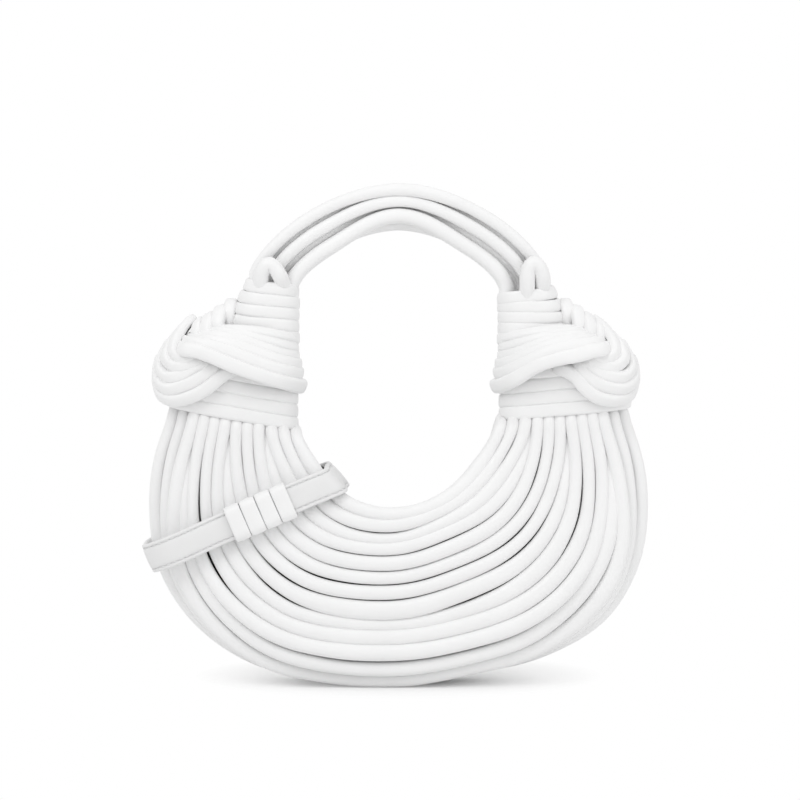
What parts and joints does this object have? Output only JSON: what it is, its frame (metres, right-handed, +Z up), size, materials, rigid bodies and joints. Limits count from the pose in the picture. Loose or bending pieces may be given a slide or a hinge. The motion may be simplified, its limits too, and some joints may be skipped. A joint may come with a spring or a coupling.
{
  "type": "knotted clutch bag",
  "caption": "Soft half-moon bag of round white leather cords gathered into a knot at each side, with an arched cord handle, a stitched strap and an open mouth.",
  "frame": {"origin": "on the floor in the middle of the flat under the keel cord, midway between the two knots", "axes": "+X to the right in the front view, +Y from the front of the bag to its back, +Z up"},
  "size_m": [0.253, 0.0627, 0.25],
  "materials": {
    "cord_leather": "smooth satin white",
    "wrap_leather": "smooth satin white",
    "strap_leather": "smooth satin white, stitched near both edges",
    "lining_cloth": "plain woven cloth",
    "snap_metal": "plated"
  },
  "bodies": {
    "bag": {"keel_cord": "cord_leather", "front_cord_01": "cord_leather", "back_cord_01": "cord_leather", "front_cord_02": "cord_leather", "back_cord_02": "cord_leather", "front_cord_03": "cord_leather", "back_cord_03": "cord_leather", "front_cord_04": "cord_leather", "back_cord_04": "cord_leather", "front_cord_05": "cord_leather", "back_cord_05": "cord_leather", "front_cord_06": "cord_leather", "back_cord_06": "cord_leather", "front_cord_07": "cord_leather", "back_cord_07": "cord_leather", "front_cord_08": "cord_leather", "back_cord_08": "cord_leather", "front_cord_09": "cord_leather", "back_cord_09": "cord_leather", "front_cord_10": "cord_leather", "back_cord_10": "cord_leather", "front_cord_11": "cord_leather", "back_cord_11": "cord_leather", "front_cord_12": "cord_leather", "back_cord_12": "cord_leather", "front_cord_13": "cord_leather", "back_cord_13": "cord_leather", "front_cord_14": "cord_leather", "back_cord_14": "cord_leather", "left_knot_core": "cord_leather", "left_base_winding": "wrap_leather", "left_neck_winding": "wrap_leather", "left_knot_band": "wrap_leather", "left_knot_curl": "wrap_leather", "left_knot_shoulder": "wrap_leather", "left_bight": "wrap_leather", "right_knot_core": "cord_leather", "right_base_winding": "wrap_leather", "right_neck_winding": "wrap_leather", "right_knot_band": "wrap_leather", "right_knot_curl": "wrap_leather", "right_knot_shoulder": "wrap_leather", "right_bight": "wrap_leather", "strap": "strap_leather", "lining": "lining_cloth", "snap_socket": "snap_metal", "snap_stud": "snap_metal"},
    "handle": {"handle_front_outer_cord": "cord_leather", "handle_back_outer_cord": "cord_leather", "handle_front_middle_cord": "cord_leather", "handle_back_middle_cord": "cord_leather", "handle_front_inner_cord": "cord_leather", "handle_back_inner_cord": "cord_leather"},
    "keeper": {"strap_keeper": "wrap_leather"}
  },
  "joints": [
    {"name": "handle_tilt", "type": "hinge", "parent": "bag", "child": "handle", "pos_m": [0, 0, 0.202], "axis": [1, 0, 0], "range_deg": [-12, 12], "stiffness_Nm_per_rad": 0.3},
    {"name": "keeper_slide", "type": "slide", "parent": "bag", "child": "keeper", "axis": [0.9184, 0, 0.3955], "range_m": [-0.014, 0.014]}
  ]
}
